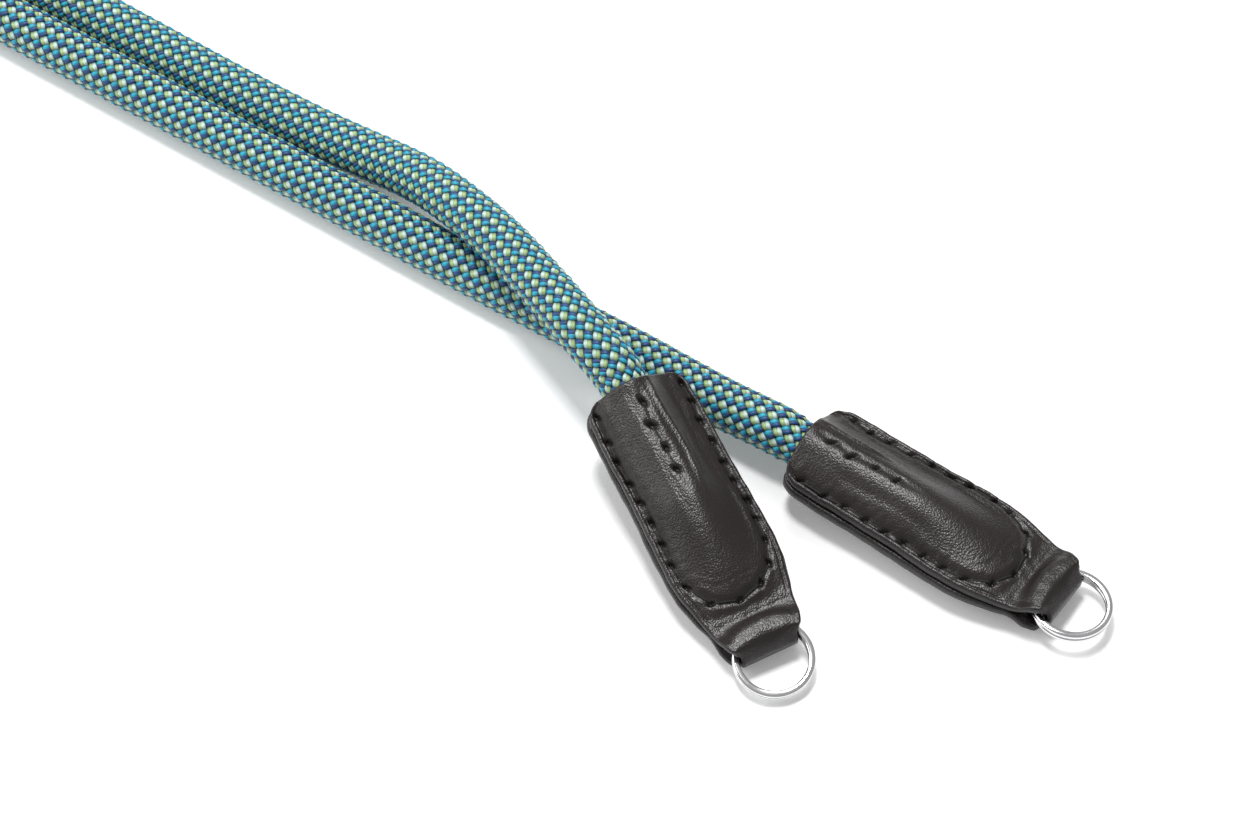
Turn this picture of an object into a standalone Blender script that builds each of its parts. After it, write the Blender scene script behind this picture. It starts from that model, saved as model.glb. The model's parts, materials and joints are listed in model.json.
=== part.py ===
"""Rope camera strap: one braided rope with a stitched leather tab and a split ring at each end.

Units are metres, +Z is up and the strap lies on the plane z = 0. The doubled rope runs along X,
its loop at -X and its two tabs at +X. The origin is under the middle of the tabs and rings.
"""
import math
from collections import namedtuple

import bpy
import bmesh
import numpy as np
from mathutils import Euler, Matrix, Vector

# Rope
ROPE_DIAMETER = 0.0100
GRIPPED_DIAMETER = 0.0086  # where the leather squeezes it
ROPE_RESOLUTION = 3  # bevel resolution of the tube
ROPE_POINT_SPACING = 0.0145
ROPE_NECK = 0.0050  # length over which the rope narrows before the leather

# Leather tab: one strip, folded round the ring and stitched to itself over the rope
TAB_LENGTH = 0.0573  # mouth to fold
TAB_WIDTH = 0.0220  # at its widest
FOLD_WIDTH = 0.0117
LEATHER = 0.0020  # one layer
FOLD_WALL = 0.0016  # one layer where the fold stretches it
FLANGE_THICKNESS = 0.0044  # the two layers pressed together
EDGE_CHAMFER = 0.0006
BULGE_WIDTH = 0.0164  # the form over the rope, flange to flange
BULGE_FRONT = 0.0068  # its height over the middle plane
BULGE_BACK = 0.0060
BULGE_FULLNESS = 1.25  # power of the bulge's cross section, which flares into the flanges
LOOP_THICKNESS = 0.0078  # outside, over the ring
SOCKET_DEPTH = 0.0250
SOCKET_SIDE = -0.0008  # the rope's axis from the tab's axis, across
SOCKET_RISE = 0.0003  # the rope's axis above the middle plane
SOCKET_SIDES = 24
CLEARANCE = 0.0003

# Split ring: a flat wire wound nearly twice round, with its step hidden in the leather
RING_OUTER_DIAMETER = 0.0153
WIRE_WIDTH = 0.0013  # in the ring's plane
WIRE_THICKNESS = 0.00095
WIRE_CHAMFER = 0.00025
TURN_GAP = 0.0001
RING_BEYOND_FOLD = 0.0010  # from the fold to the ring's centre
STEP_ANGLE = 30  # degrees over which the wire climbs from one turn to the next
RING_ANGLE_STEP = 10  # degrees
ROOM_SIDES = 48

# Where each tab lies: its mouth, and its turns in degrees. Yaw is towards -Y, pitch is ring end down.
TabPlace = namedtuple("TabPlace", "mouth yaw pitch roll")
TAB_A = TabPlace((-0.0465, 0.0067, 0.01485), 29.8, 11.4, 3.0)
TAB_B = TabPlace((-0.0152, 0.0189, 0.0073), 1.5, 3.0, -5.0)

# A tab's outline and form, section by section from mouth to fold. along is a share of the tab's
# length. body and fold are the shares of the two widths that make up the width there. bulge is the
# share of the bulge's heights over the flange, and loop of the extra thickness over the ring.
Section = namedtuple("Section", "along body fold bulge loop")
SECTIONS = (
    Section(0.000, 0.690, 0.00, 1.00, 0.00),
    Section(0.014, 0.820, 0.00, 1.00, 0.00),
    Section(0.034, 0.895, 0.00, 1.00, 0.00),
    Section(0.060, 0.935, 0.00, 1.00, 0.00),
    Section(0.170, 0.955, 0.00, 1.00, 0.00),
    Section(0.290, 0.957, 0.00, 1.00, 0.00),
    Section(0.420, 0.965, 0.00, 1.00, 0.00),
    Section(0.480, 0.982, 0.00, 0.93, 0.00),
    Section(0.560, 0.997, 0.00, 0.78, 0.00),
    Section(0.630, 1.000, 0.00, 0.61, 0.00),
    Section(0.700, 0.960, 0.04, 0.42, 0.00),
    Section(0.755, 0.840, 0.16, 0.22, 0.00),
    Section(0.800, 0.730, 0.27, 0.06, 0.00),
    Section(0.835, 0.620, 0.38, 0.00, 0.06),
    Section(0.857, 0.540, 0.46, 0.00, 0.36),
    Section(0.880, 0.450, 0.55, 0.00, 0.76),
    Section(0.908, 0.340, 0.66, 0.00, 0.98),
    Section(0.945, 0.190, 0.81, 0.00, 1.00),
    Section(0.972, 0.090, 0.91, 0.00, 0.78),
    Section(0.988, 0.035, 0.96, 0.00, 0.34),
    Section(1.000, 0.000, 0.97, 0.00, -0.45),
)
ACROSS = 19  # points over the front of a section, and as many over its back

# The rope's route between the two tabs, chosen by hand, in millimetres
ROUTE_MM = (
    (-55.6, 10.0, 16.8),
    (-65.0, 13.7, 16.9),
    (-74.3, 17.5, 16.0),
    (-85.6, 21.9, 14.8),
    (-96.8, 25.4, 12.8),
    (-107.9, 28.4, 9.6),
    (-118.0, 29.6, 6.8),
    (-129.5, 29.5, 5.3),
    (-142.0, 29.1, 5.0),
    (-176.0, 29.0, 5.0),
    (-236.0, 29.0, 5.0),
    (-296.0, 29.3, 5.0),
    (-340.0, 31.3, 5.0),
    (-370.0, 33.6, 5.0),
    (-397.0, 33.2, 5.0),
    (-416.4, 25.9, 5.0),
    (-428.2, 11.8, 5.0),
    (-431.6, -5.7, 5.0),
    (-425.3, -23.1, 5.0),
    (-411.3, -34.9, 5.0),
    (-392.5, -38.1, 5.0),
    (-370.0, -32.9, 5.0),
    (-346.0, -20.2, 5.0),
    (-322.0, -5.7, 5.0),
    (-298.0, 7.8, 5.0),
    (-262.0, 17.3, 5.0),
    (-216.0, 18.7, 5.0),
    (-161.0, 18.7, 5.0),
    (-111.0, 18.7, 5.0),
    (-84.0, 18.7, 5.0),
    (-66.0, 19.0, 5.1),
    (-53.0, 19.1, 5.5),
    (-41.5, 18.6, 6.3),
    (-30.0, 18.25, 7.2),
)

LEATHER_COLOUR = (0.028, 0.022, 0.020, 1.0)
ROPE_COLOUR = (0.16, 0.42, 0.47, 1.0)
STEEL_COLOUR = (0.78, 0.78, 0.79, 1.0)


def clear_scene():
    for obj in list(bpy.data.objects):
        bpy.data.objects.remove(obj, do_unlink=True)


def new_collection(name):
    collection = bpy.data.collections.new(name)
    bpy.context.scene.collection.children.link(collection)
    return collection


def new_material(name, colour, roughness, metallic):
    material = bpy.data.materials.new(name)
    material.use_nodes = True
    shader = material.node_tree.nodes["Principled BSDF"]
    shader.inputs["Base Color"].default_value = colour
    shader.inputs["Roughness"].default_value = roughness
    shader.inputs["Metallic"].default_value = metallic
    return material


def add_object(name, data, collection, place):
    obj = bpy.data.objects.new(name, data)
    obj.matrix_world = place
    collection.objects.link(obj)
    return obj


def as_guide(obj):
    """Cutters and profiles are shown as wires and are no part of the strap."""
    obj.hide_render = True
    obj.display_type = "WIRE"
    return obj


def tab_matrix(place):
    """A tab's own frame: X runs from mouth to fold, Y across it and Z out of its front."""
    turns = Euler((math.radians(place.roll), math.radians(place.pitch), math.radians(-place.yaw)))
    return Matrix.Translation(place.mouth) @ turns.to_matrix().to_4x4()


def spline_bends(points, steps):
    """Second derivatives of the natural cubic spline through the points."""
    count = len(points)
    matrix = np.zeros((count, count))
    right = np.zeros((count, 3))
    matrix[0, 0] = 1.0
    matrix[-1, -1] = 1.0
    for i in range(1, count - 1):
        before = steps[i - 1]
        after = steps[i]
        matrix[i, i - 1 : i + 2] = (before, 2 * (before + after), after)
        right[i] = 6 * ((points[i + 1] - points[i]) / after - (points[i] - points[i - 1]) / before)
    return np.linalg.solve(matrix, right)


def smooth_curve(points, fineness=40):
    """Fine points on the natural cubic spline, fineness of them from each given point to the next."""
    points = np.asarray(points, float)
    steps = np.linalg.norm(np.diff(points, axis=0), axis=1)
    bends = spline_bends(points, steps)
    fine = []
    for i, step in enumerate(steps):
        for b in np.arange(fineness) / fineness:
            a = 1 - b
            line = a * points[i] + b * points[i + 1]
            sag = (a**3 - a) * bends[i] + (b**3 - b) * bends[i + 1]
            fine.append(line + sag * step**2 / 6)
    fine.append(points[-1])
    return np.array(fine), fineness


def even_points(fine, spacing):
    """Points about a spacing apart on a fine polyline, its two ends among them."""
    lengths = np.concatenate([[0.0], np.cumsum(np.linalg.norm(np.diff(fine, axis=0), axis=1))])
    wanted = np.linspace(0, lengths[-1], round(lengths[-1] / spacing) + 1)
    return np.stack([np.interp(wanted, lengths, fine[:, k]) for k in range(3)], axis=1)


def in_socket(frame, along):
    """A point on the rope's axis in a tab's own frame. Outside the mouth along is negative."""
    return frame @ Vector((along, SOCKET_SIDE, SOCKET_RISE))


def rope_path(frame_a, frame_b):
    """The rope's points with the share of its diameter at each, from tab A round to tab B."""
    deep = SOCKET_DEPTH - CLEARANCE
    gripped = (deep, deep / 2, -CLEARANCE)
    start = [in_socket(frame_a, along) for along in gripped]
    end = [in_socket(frame_b, along) for along in reversed(gripped)]
    neck_a = in_socket(frame_a, -ROPE_NECK)
    neck_b = in_socket(frame_b, -ROPE_NECK)
    route = [Vector(point) / 1000 for point in ROUTE_MM]
    fine, fineness = smooth_curve([*start, neck_a, *route, neck_b, *end])
    free = fine[3 * fineness : -3 * fineness]
    share = GRIPPED_DIAMETER / ROPE_DIAMETER
    path = [(point, share) for point in start]
    path += [(point, 1.0) for point in even_points(free, ROPE_POINT_SPACING)]
    path += [(point, share) for point in end]
    return path


def add_rope(frame_a, frame_b, collection, material):
    path = rope_path(frame_a, frame_b)
    curve = bpy.data.curves.new("rope", "CURVE")
    curve.dimensions = "3D"
    curve.bevel_depth = ROPE_DIAMETER / 2
    curve.bevel_resolution = ROPE_RESOLUTION
    curve.use_fill_caps = True
    spline = curve.splines.new("POLY")
    spline.points.add(len(path) - 1)
    for point, (position, share) in zip(spline.points, path):
        point.co = (*position, 1)
        point.radius = share
    curve.materials.append(material)
    return add_object("rope", curve, collection, Matrix.Identity(4))


def flange_half(section):
    """Half the thickness of the pressed layers, opened up over the ring."""
    extra = (LOOP_THICKNESS - FLANGE_THICKNESS) / 2
    return FLANGE_THICKNESS / 2 + extra * section.loop


def half_width(section):
    return (TAB_WIDTH * section.body + FOLD_WIDTH * section.fold) / 2


def surface(across, section, height):
    """Distance of the leather's surface from the middle plane, at a distance from the tab's axis."""
    reach = (across - SOCKET_SIDE) / (BULGE_WIDTH / 2)
    rise = max(0.0, 1 - reach * reach) ** BULGE_FULLNESS
    return flange_half(section) + (height - FLANGE_THICKNESS / 2) * section.bulge * rise


def tab_section(section):
    """The closed outline of a tab at one section: front, edge, back, edge."""
    x = section.along * TAB_LENGTH
    wide = half_width(section)
    edge = flange_half(section) - EDGE_CHAMFER
    row = np.linspace(-1, 1, ACROSS) * (wide - EDGE_CHAMFER)
    front = [(x, y, surface(y, section, BULGE_FRONT)) for y in row]
    back = [(x, y, -surface(y, section, BULGE_BACK)) for y in reversed(row)]
    return front + [(x, wide, edge), (x, wide, -edge)] + back + [(x, -wide, -edge), (x, -wide, edge)]


def mesh_data(name, mesh):
    """Turns a filled bmesh into mesh data with its faces out."""
    bmesh.ops.recalc_face_normals(mesh, faces=mesh.faces)
    data = bpy.data.meshes.new(name)
    mesh.to_mesh(data)
    mesh.free()
    return data


def tab_mesh(name):
    """Lofts a tab's sections into a solid."""
    mesh = bmesh.new()
    rings = [[mesh.verts.new(point) for point in tab_section(section)] for section in SECTIONS]
    for ring, following in zip(rings, rings[1:]):
        for i, vert in enumerate(ring):
            j = (i + 1) % len(ring)
            mesh.faces.new((vert, ring[j], following[j], following[i]))
    mesh.faces.new(rings[0])
    mesh.faces.new(rings[-1])
    return mesh_data(name, mesh)


def channel_mesh(name):
    """The space between the layers, open at both sides, that the ring's wire passes through."""
    last = TAB_LENGTH - FOLD_WALL
    upper = []
    for section in SECTIONS:
        x = section.along * TAB_LENGTH
        half = flange_half(section) - LEATHER
        if section.loop > 0.1 and x < last - FOLD_WALL / 4:
            upper.append((x, half))
    upper.insert(0, (upper[0][0] - LEATHER, CLEARANCE / 2))
    upper.append((last, FOLD_WALL / 2))
    outline = upper + [(x, -z) for x, z in reversed(upper)]
    mesh = bmesh.new()
    near = [mesh.verts.new((x, -TAB_WIDTH, z)) for x, z in outline]
    far = [mesh.verts.new((x, TAB_WIDTH, z)) for x, z in outline]
    for i in range(len(outline)):
        j = (i + 1) % len(outline)
        mesh.faces.new((near[i], near[j], far[j], far[i]))
    mesh.faces.new(near)
    mesh.faces.new(far)
    return mesh_data(name, mesh)


def ring_matrix(frame):
    """The ring's own frame: its middle, with Z as its axis."""
    return frame @ Matrix.Translation((TAB_LENGTH + RING_BEYOND_FOLD, 0, 0))


def add_socket(letter, frame, cutters):
    """The round hole that the rope's end sits in, its open end past the tab's mouth."""
    past_mouth = LEATHER
    length = SOCKET_DEPTH + past_mouth
    bpy.ops.mesh.primitive_cylinder_add(
        vertices=SOCKET_SIDES,
        radius=GRIPPED_DIAMETER / 2 + CLEARANCE,
        depth=length,
    )
    socket = bpy.context.object
    socket.name = f"socket_{letter}"
    bpy.context.collection.objects.unlink(socket)
    cutters.objects.link(socket)
    lying = Matrix.Rotation(math.radians(90), 4, "Y")
    middle = Matrix.Translation((length / 2 - past_mouth, SOCKET_SIDE, SOCKET_RISE))
    socket.matrix_world = frame @ middle @ lying
    return as_guide(socket)


def add_ring_room(letter, frame, cutters):
    """The room that the ring needs to turn in, with a clearance all round."""
    outer = RING_OUTER_DIAMETER / 2 + CLEARANCE
    inner = RING_OUTER_DIAMETER / 2 - WIRE_WIDTH - CLEARANCE
    top = WIRE_THICKNESS + TURN_GAP / 2 + CLEARANCE
    corners = [(outer, 0, top), (outer, 0, -top), (inner, 0, -top), (inner, 0, top)]
    edges = [(i, (i + 1) % len(corners)) for i in range(len(corners))]
    data = bpy.data.meshes.new("ring_room")
    data.from_pydata(corners, edges, [])
    room = add_object(f"ring_room_{letter}", data, cutters, ring_matrix(frame))
    screw = room.modifiers.new("turn", "SCREW")
    screw.steps = ROOM_SIDES
    screw.render_steps = ROOM_SIDES
    screw.use_merge_vertices = True
    screw.merge_threshold = 0.00001
    return as_guide(room)


def cut(obj, cutter):
    boolean = obj.modifiers.new(cutter.name, "BOOLEAN")
    boolean.operation = "DIFFERENCE"
    boolean.solver = "EXACT"
    boolean.object = cutter


def add_tab(letter, frame, collection, cutters, material):
    name = f"leather_tab_{letter}"
    tab = add_object(name, tab_mesh(name), collection, frame)
    tab.data.materials.append(material)
    tab.data.shade_smooth()
    tab.data.set_sharp_from_angle(angle=math.radians(40))
    channel = as_guide(add_object(f"channel_{letter}", channel_mesh("channel"), cutters, frame))
    cut(tab, add_socket(letter, frame, cutters))
    cut(tab, channel)
    cut(tab, add_ring_room(letter, frame, cutters))
    return tab


def add_wire_profile(cutters):
    """The ring wire's cross section, a flat bar with its corners taken off."""
    half_w = WIRE_WIDTH / 2
    half_t = WIRE_THICKNESS / 2
    corners = (
        (half_w, -half_t + WIRE_CHAMFER),
        (half_w - WIRE_CHAMFER, -half_t),
        (-half_w + WIRE_CHAMFER, -half_t),
        (-half_w, -half_t + WIRE_CHAMFER),
        (-half_w, half_t - WIRE_CHAMFER),
        (-half_w + WIRE_CHAMFER, half_t),
        (half_w - WIRE_CHAMFER, half_t),
        (half_w, half_t - WIRE_CHAMFER),
    )
    curve = bpy.data.curves.new("wire_profile", "CURVE")
    curve.dimensions = "2D"
    spline = curve.splines.new("POLY")
    spline.points.add(len(corners) - 1)
    for point, (x, y) in zip(spline.points, corners):
        point.co = (x, y, 0, 1)
    spline.use_cyclic_u = True
    return as_guide(add_object("wire_profile", curve, cutters, Matrix.Identity(4)))


def ring_path():
    """The wire's middle line: one turn low, a step up, then nearly one turn high."""
    radius = (RING_OUTER_DIAMETER - WIRE_WIDTH) / 2
    level = (WIRE_THICKNESS + TURN_GAP) / 2
    start = 180 + STEP_ANGLE / 2
    points = []
    for angle in range(0, 720 - STEP_ANGLE + 1, RING_ANGLE_STEP):
        climb = min(1.0, max(0.0, (angle - 360 + STEP_ANGLE) / STEP_ANGLE))
        height = level * (2 * climb * climb * (3 - 2 * climb) - 1)
        turn = math.radians(start + angle)
        points.append((radius * math.cos(turn), radius * math.sin(turn), height))
    return points


def add_ring(letter, frame, collection, profile, material):
    curve = bpy.data.curves.new(f"split_ring_{letter}", "CURVE")
    curve.dimensions = "3D"
    curve.twist_mode = "Z_UP"
    curve.bevel_mode = "OBJECT"
    curve.bevel_object = profile
    curve.use_fill_caps = True
    path = ring_path()
    spline = curve.splines.new("POLY")
    spline.points.add(len(path) - 1)
    for point, position in zip(spline.points, path):
        point.co = (*position, 1)
    curve.materials.append(material)
    return add_object(f"split_ring_{letter}", curve, collection, ring_matrix(frame))


def main():
    clear_scene()
    strap = new_collection("rope camera strap")
    cutters = new_collection("cutters")
    leather = new_material("dark leather", LEATHER_COLOUR, 0.45, 0.0)
    braid = new_material("braided rope", ROPE_COLOUR, 0.8, 0.0)
    steel = new_material("plated steel", STEEL_COLOUR, 0.15, 1.0)
    frame_a = tab_matrix(TAB_A)
    frame_b = tab_matrix(TAB_B)
    profile = add_wire_profile(cutters)
    add_rope(frame_a, frame_b, strap, braid)
    for letter, frame in (("a", frame_a), ("b", frame_b)):
        add_tab(letter, frame, strap, cutters, leather)
        add_ring(letter, frame, strap, profile, steel)


main()
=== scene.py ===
"""Looks of the rope camera strap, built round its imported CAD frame. Metres, +Z up."""
import json
import math
from collections import namedtuple

import bpy
import numpy as np
from mathutils import Euler, Matrix, Vector

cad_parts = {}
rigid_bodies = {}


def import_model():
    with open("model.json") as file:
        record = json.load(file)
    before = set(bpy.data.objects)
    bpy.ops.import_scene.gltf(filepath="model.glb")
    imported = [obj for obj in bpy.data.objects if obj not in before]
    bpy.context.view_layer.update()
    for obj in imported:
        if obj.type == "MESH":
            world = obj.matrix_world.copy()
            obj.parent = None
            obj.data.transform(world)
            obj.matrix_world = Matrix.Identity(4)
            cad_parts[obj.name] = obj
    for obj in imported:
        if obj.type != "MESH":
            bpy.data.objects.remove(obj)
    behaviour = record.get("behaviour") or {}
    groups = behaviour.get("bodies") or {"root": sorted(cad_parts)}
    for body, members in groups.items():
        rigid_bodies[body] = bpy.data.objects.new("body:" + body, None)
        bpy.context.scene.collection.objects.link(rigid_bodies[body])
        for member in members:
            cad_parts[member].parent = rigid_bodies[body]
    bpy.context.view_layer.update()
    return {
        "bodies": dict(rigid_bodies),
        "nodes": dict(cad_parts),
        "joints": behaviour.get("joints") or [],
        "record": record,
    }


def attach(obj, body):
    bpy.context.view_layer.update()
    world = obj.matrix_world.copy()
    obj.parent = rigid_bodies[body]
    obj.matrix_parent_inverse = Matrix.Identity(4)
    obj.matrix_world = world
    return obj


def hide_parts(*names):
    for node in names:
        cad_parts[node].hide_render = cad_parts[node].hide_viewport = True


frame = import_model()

MM = 0.001

# Sizes and places repeated from part.py
ROPE_RADIUS = 0.0050
GRIPPED_RADIUS = 0.0043
ROPE_NECK = 0.0050
TAB_LENGTH = 0.0573
TAB_WIDTH = 0.0220
FOLD_WIDTH = 0.0117
SOCKET_DEPTH = 0.0250
SOCKET_SIDE = -0.0008
SOCKET_RISE = 0.0003
CLEARANCE = 0.0003
RING_OUTER_DIAMETER = 0.0153
WIRE_WIDTH = 0.0013
WIRE_THICKNESS = 0.00095
TURN_GAP = 0.0001
RING_BEYOND_FOLD = 0.0010
STEP_ANGLE = 30
TabPlace = namedtuple("TabPlace", "mouth yaw pitch roll")
TABS = {
    "a": TabPlace((-0.0465, 0.0067, 0.01485), 29.8, 11.4, 3.0),
    "b": TabPlace((-0.0152, 0.0189, 0.0073), 1.5, 3.0, -5.0),
}
ROUTE_MM = (
    (-55.6, 10.0, 16.8),
    (-65.0, 13.7, 16.9),
    (-74.3, 17.5, 16.0),
    (-85.6, 21.9, 14.8),
    (-96.8, 25.4, 12.8),
    (-107.9, 28.4, 9.6),
    (-118.0, 29.6, 6.8),
    (-129.5, 29.5, 5.3),
    (-142.0, 29.1, 5.0),
    (-176.0, 29.0, 5.0),
    (-236.0, 29.0, 5.0),
    (-296.0, 29.3, 5.0),
    (-340.0, 31.3, 5.0),
    (-370.0, 33.6, 5.0),
    (-397.0, 33.2, 5.0),
    (-416.4, 25.9, 5.0),
    (-428.2, 11.8, 5.0),
    (-431.6, -5.7, 5.0),
    (-425.3, -23.1, 5.0),
    (-411.3, -34.9, 5.0),
    (-392.5, -38.1, 5.0),
    (-370.0, -32.9, 5.0),
    (-346.0, -20.2, 5.0),
    (-322.0, -5.7, 5.0),
    (-298.0, 7.8, 5.0),
    (-262.0, 17.3, 5.0),
    (-216.0, 18.7, 5.0),
    (-161.0, 18.7, 5.0),
    (-111.0, 18.7, 5.0),
    (-84.0, 18.7, 5.0),
    (-66.0, 19.0, 5.1),
    (-53.0, 19.1, 5.5),
    (-41.5, 18.6, 6.3),
    (-30.0, 18.25, 7.2),
)

# A tab's outline and form, from mouth to fold: the place as a share of the tab's length, the width
# as shares of the tab's and of the fold's own width, and the share of the bulge over the rope
SECTIONS = np.array(
    (
        (0.000, 0.690, 0.00, 1.00),
        (0.014, 0.820, 0.00, 1.00),
        (0.034, 0.895, 0.00, 1.00),
        (0.060, 0.935, 0.00, 1.00),
        (0.170, 0.955, 0.00, 1.00),
        (0.290, 0.957, 0.00, 1.00),
        (0.420, 0.965, 0.00, 1.00),
        (0.480, 0.982, 0.00, 0.93),
        (0.560, 0.997, 0.00, 0.78),
        (0.630, 1.000, 0.00, 0.61),
        (0.700, 0.960, 0.04, 0.42),
        (0.755, 0.840, 0.16, 0.22),
        (0.800, 0.730, 0.27, 0.06),
        (0.835, 0.620, 0.38, 0.00),
        (0.857, 0.540, 0.46, 0.00),
        (0.880, 0.450, 0.55, 0.00),
        (0.908, 0.340, 0.66, 0.00),
        (0.945, 0.190, 0.81, 0.00),
        (0.972, 0.090, 0.91, 0.00),
        (0.988, 0.035, 0.96, 0.00),
        (1.000, 0.000, 0.97, 0.00),
    )
)
SECTION_ALONG = SECTIONS[:, 0] * TAB_LENGTH / MM
SECTION_HALF = (SECTIONS[:, 1] * TAB_WIDTH + SECTIONS[:, 2] * FOLD_WIDTH) / 2 / MM
SECTION_BULGE = SECTIONS[:, 3]
SIDE = SOCKET_SIDE / MM
RISE = SOCKET_RISE / MM

# The leather's heights over the tab's middle plane, in millimetres
FLANGE = 2.2  # beside the rope
FRONT = 6.8  # over the rope, in front
BACK = 6.0  # over the rope, behind
LAYER_GAP = 0.06  # from the middle plane to a layer's inside
ROPE_GAP = 0.32  # from the rope to the leather
MOUTH_GAP = 0.22  # how much further the leather is from the rope at the mouth
BULGE_HALF = 8.2  # half the bulge's width
BULGE_FULLNESS = 1.42

# The leather's low relief in millimetres: how high or deep each form is, half its width, its place
PAD_RISE = 0.55
GROOVE_DEPTH = 0.34
GROOVE_HALF = 0.42
PUCKER_RISE = 0.06
FURROW_DEPTH = 0.30
FURROW_HALF = 0.85
FURROW_SIDE = 0.35
CREASE_DEPTH = 0.26
CREASE_HALF = 0.16
CREASE_INSET = 1.05
WRINKLE_RISE = 0.020
WRINKLE_CENTRE = 33.5
DROOP_SLOPE = 0.17
SEAM_HOLE_DEPTH = 0.9
SEAM_HOLE_SIZE = 0.52
MIDDLE_HOLE_DEPTH = 1.0
MIDDLE_HOLE_SIZE = 0.62
# Sizes of the shade painted into the stitch holes
SEAM_PAINTED_SHADE_SIZE = 0.54
MIDDLE_PAINTED_SHADE_SIZE = 0.66
BACK_SHARE = 0.9  # how strong the relief is behind

# The fold round the ring, from the flat layers to the fold's end, in millimetres: the place along
# and the height over the middle plane, first for the strip's outside and then for its inside
FOLD = np.array(
    (
        (48.60, 1.72, 48.60, 0.06),
        (49.30, 1.70, 49.30, 0.20),
        (50.00, 2.12, 49.90, 0.62),
        (50.70, 3.00, 50.50, 1.25),
        (51.50, 3.50, 51.30, 1.74),
        (52.50, 3.71, 52.30, 1.95),
        (53.50, 3.84, 53.20, 1.98),
        (54.40, 3.76, 54.00, 1.90),
        (55.20, 3.38, 54.70, 1.70),
        (56.00, 2.72, 55.25, 1.36),
        (56.75, 1.85, 55.70, 0.88),
        (57.20, 1.00, 55.85, 0.40),
        (57.30, 0.00, 55.90, 0.00),
    )
)
FOLD_END = TAB_LENGTH / MM  # its place along
FOLD_HALF = 5.72  # half the strip's width at the fold's end
BACK_FLATTENING = 0.12  # how much lower the fold is behind than in front
RING_RADIUS = (RING_OUTER_DIAMETER - WIRE_WIDTH) / 2  # to the middle of the wire

# Stitch holes on each tab, in millimetres from the mouth and across, and those in the middle row
SEAMS = {
    "a": (
        (2.6, -8.5), (8.0, -8.8), (12.0, -9.1), (17.0, -8.9), (21.1, -8.7), (25.5, -8.7),
        (30.1, -8.8), (34.5, -9.1), (39.6, -8.5), (44.4, -5.9), (46.1, -0.7), (44.7, 4.2),
        (41.8, 7.3), (37.5, 8.8), (33.0, 9.1), (29.0, 9.3), (24.6, 8.8), (20.5, 8.7),
        (15.8, 8.8), (11.4, 8.6), (7.1, 8.9), (3.1, 8.8),
    ),
    "b": (
        (4.0, -8.9), (9.3, -9.1), (13.7, -8.7), (18.3, -8.8), (22.6, -8.9), (26.7, -8.8),
        (31.2, -8.9), (35.5, -8.9), (40.0, -8.5), (44.6, -6.3), (46.8, -1.9), (46.0, 3.3),
        (43.5, 7.1), (39.0, 9.1), (35.2, 9.7), (29.9, 9.6), (25.8, 9.2), (21.7, 9.2),
        (17.2, 8.8), (12.6, 8.6), (8.6, 8.3), (4.8, 8.7),
    ),
}
MIDDLE_ROWS = {
    "a": ((4.8, -0.3), (9.7, -0.9), (14.8, -0.5), (19.4, -0.6)),
    "b": ((5.3, -1.0), (9.9, -1.4), (15.0, -0.8), (19.6, -0.7)),
}

# Lengthwise ripples in the front leather: from and to along it, the places across at both ends,
# half the width and the height, all in millimetres
RIPPLES = {
    "a": (
        (-1.0, 31.0, -6.7, -6.3, 1.0, 0.22),
        (-1.0, 27.0, -4.6, -5.0, 0.8, -0.24),
        (-1.0, 33.0, -1.8, -1.9, 1.3, -0.28),
        (-1.0, 28.0, 2.9, 3.1, 0.75, 0.56),
        (-1.0, 28.0, 5.2, 5.6, 1.2, -0.38),
    ),
    "b": (
        (-1.0, 30.0, -6.6, -6.4, 1.0, 0.10),
        (8.0, 34.0, -5.2, -5.4, 1.0, -0.16),
        (-1.0, 19.0, 2.7, 2.9, 0.60, 0.42),
        (-1.0, 30.0, 5.0, 5.6, 1.3, -0.34),
    ),
}

# The split ring's wire: how many points go round it, the degrees between them along it, and how
# thick its ends are as a share of the rest
WIRE_SIDES = 16
WIRE_POINT_ANGLE = 3.0
WIRE_END_SHARE = 0.72

# The thread of the stitches, in millimetres
THREAD_RADIUS = 0.27
THREAD_SIDES = 8
THREAD_FLATNESS = 0.8  # its height as a share of its width
STITCH_SPANS = 10  # points along a stitch
STITCH_START = 0.04  # where a stitch starts, as a share of the way to the next hole
STITCH_LIFT = 0.10  # how far it lies above the leather in the middle
STITCH_DIVE = 0.80  # how much lower its ends are

# The points across the leather strip, in millimetres: those near an edge by the distance from it,
# and those on the edge itself by the share from outside to inside and the distance from it
NEAR_EDGE = np.array((0.45, 0.68, 0.90, 1.05, 1.20, 1.44))
NEAR_EDGE_STEP = 0.24
PLAIN_COLUMNS = 70
EDGE_ROW = ((0.07, 0.16), (0.25, 0.03), (0.50, 0.0), (0.75, 0.03), (0.93, 0.16))

# The stations along the leather strip: those at the mouth, how round the layers' ends are there,
# and the distance between the others
MOUTH_STATIONS = (0.0, 0.05, 0.16, 0.32, 0.55)
MOUTH_ROUNDING = (0.62, 0.34, 0.14, 0.04, 0.0)
FIRST_PLAIN_STATION = 0.85
FRONT_PITCH = 0.32
BACK_PITCH = 0.55

# The photograph's camera, fitted to the tabs, rings and runs
LOOK_AT = Vector((-0.0491, 0.00965, 0.0))
CAMERA_AZIMUTH = 33.1
CAMERA_ELEVATION = 57.0
CAMERA_DISTANCE = 1.0
CAMERA_LENS = 151.9

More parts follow.
